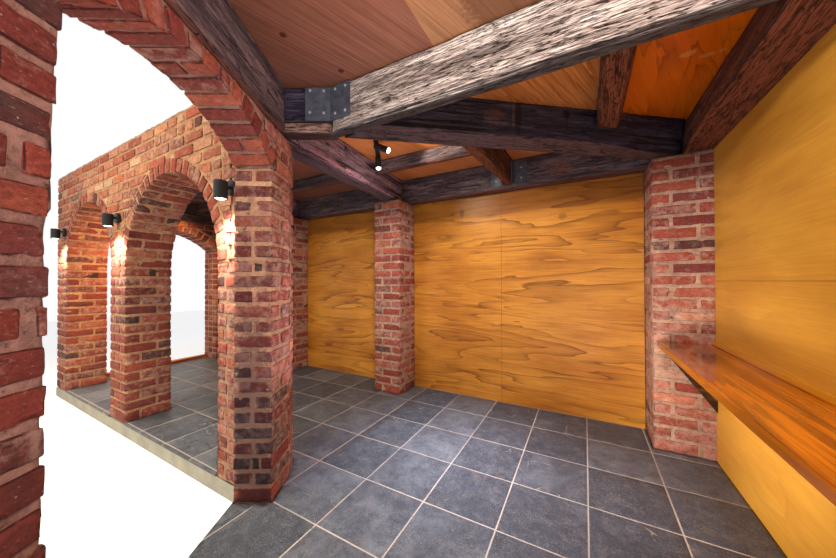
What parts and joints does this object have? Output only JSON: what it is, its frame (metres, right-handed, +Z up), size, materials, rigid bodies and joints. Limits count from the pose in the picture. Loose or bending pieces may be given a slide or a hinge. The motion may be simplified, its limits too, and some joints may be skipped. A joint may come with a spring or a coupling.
{
  "type": "oast house arcade bay",
  "caption": "Corner bay of a converted oast house: brick arcade, outer piers and walls, old beams, plywood ceiling and lining, slate floor.",
  "frame": {"origin": "middle of the bounding box, on the underside of the floor slab", "axes": "+Z up, +Y from the arcade to the back wall, +X toward the wall with the shelf"},
  "size_m": [6.625, 3.6323, 2.625],
  "materials": {
    "brickwork": "rough red brick in pale sandy mortar",
    "slate": "riven dark slate, sealed",
    "concrete": "cast",
    "dark_timber": "rough sawn, darkened with age",
    "weathered_timber": "weathered, deep grain",
    "red_timber": "worn",
    "pale_timber": "clear varnish",
    "wall_plywood": "honey varnish",
    "ceiling_plywood": "orange varnish",
    "varnished_wood": "gloss varnish",
    "black_steel": "satin black",
    "lamp_black": "satin black",
    "lamp_glow": "lit lamp face"
  },
  "bodies": {
    "root": {"floor_slab": "concrete", "slate_floor": "slate", "near_pier": "brickwork", "near_arch": "brickwork", "corner_pier": "brickwork", "arcade_arch_right": "brickwork", "arcade_mid_pier": "brickwork", "arcade_arch_left": "brickwork", "arcade_end_pier": "brickwork", "end_wall_arch": "brickwork", "end_wall_pier": "brickwork", "end_threshold": "pale_timber", "back_wall": "brickwork", "right_wall": "brickwork", "back_pier_left": "brickwork", "back_pier_middle": "brickwork", "back_pier_right": "brickwork", "back_panel_left": "wall_plywood", "back_panel_middle": "wall_plywood", "back_panel_right": "wall_plywood", "right_panel": "wall_plywood", "near_arcade_beam": "dark_timber", "long_arcade_beam_right": "dark_timber", "long_arcade_beam_left": "dark_timber", "corner_block": "dark_timber", "corner_bearer": "red_timber", "joint_plate": "black_steel", "cross_beam": "weathered_timber", "diagonal_beam": "dark_timber", "tie_beam_right": "dark_timber", "tie_beam_left": "dark_timber", "back_beam": "dark_timber", "right_beam": "dark_timber", "end_beam": "dark_timber", "near_beam": "dark_timber", "trimmer_joists": "dark_timber", "light_joists": "dark_timber", "ceiling_near": "ceiling_plywood", "ceiling_corner": "ceiling_plywood", "ceiling_back": "ceiling_plywood", "ceiling_left": "ceiling_plywood", "wall_shelf": "varnished_wood", "shelf_brackets": "black_steel", "wall_lamps": "lamp_black", "ceiling_spots": "lamp_black"}
  },
  "joints": []
}
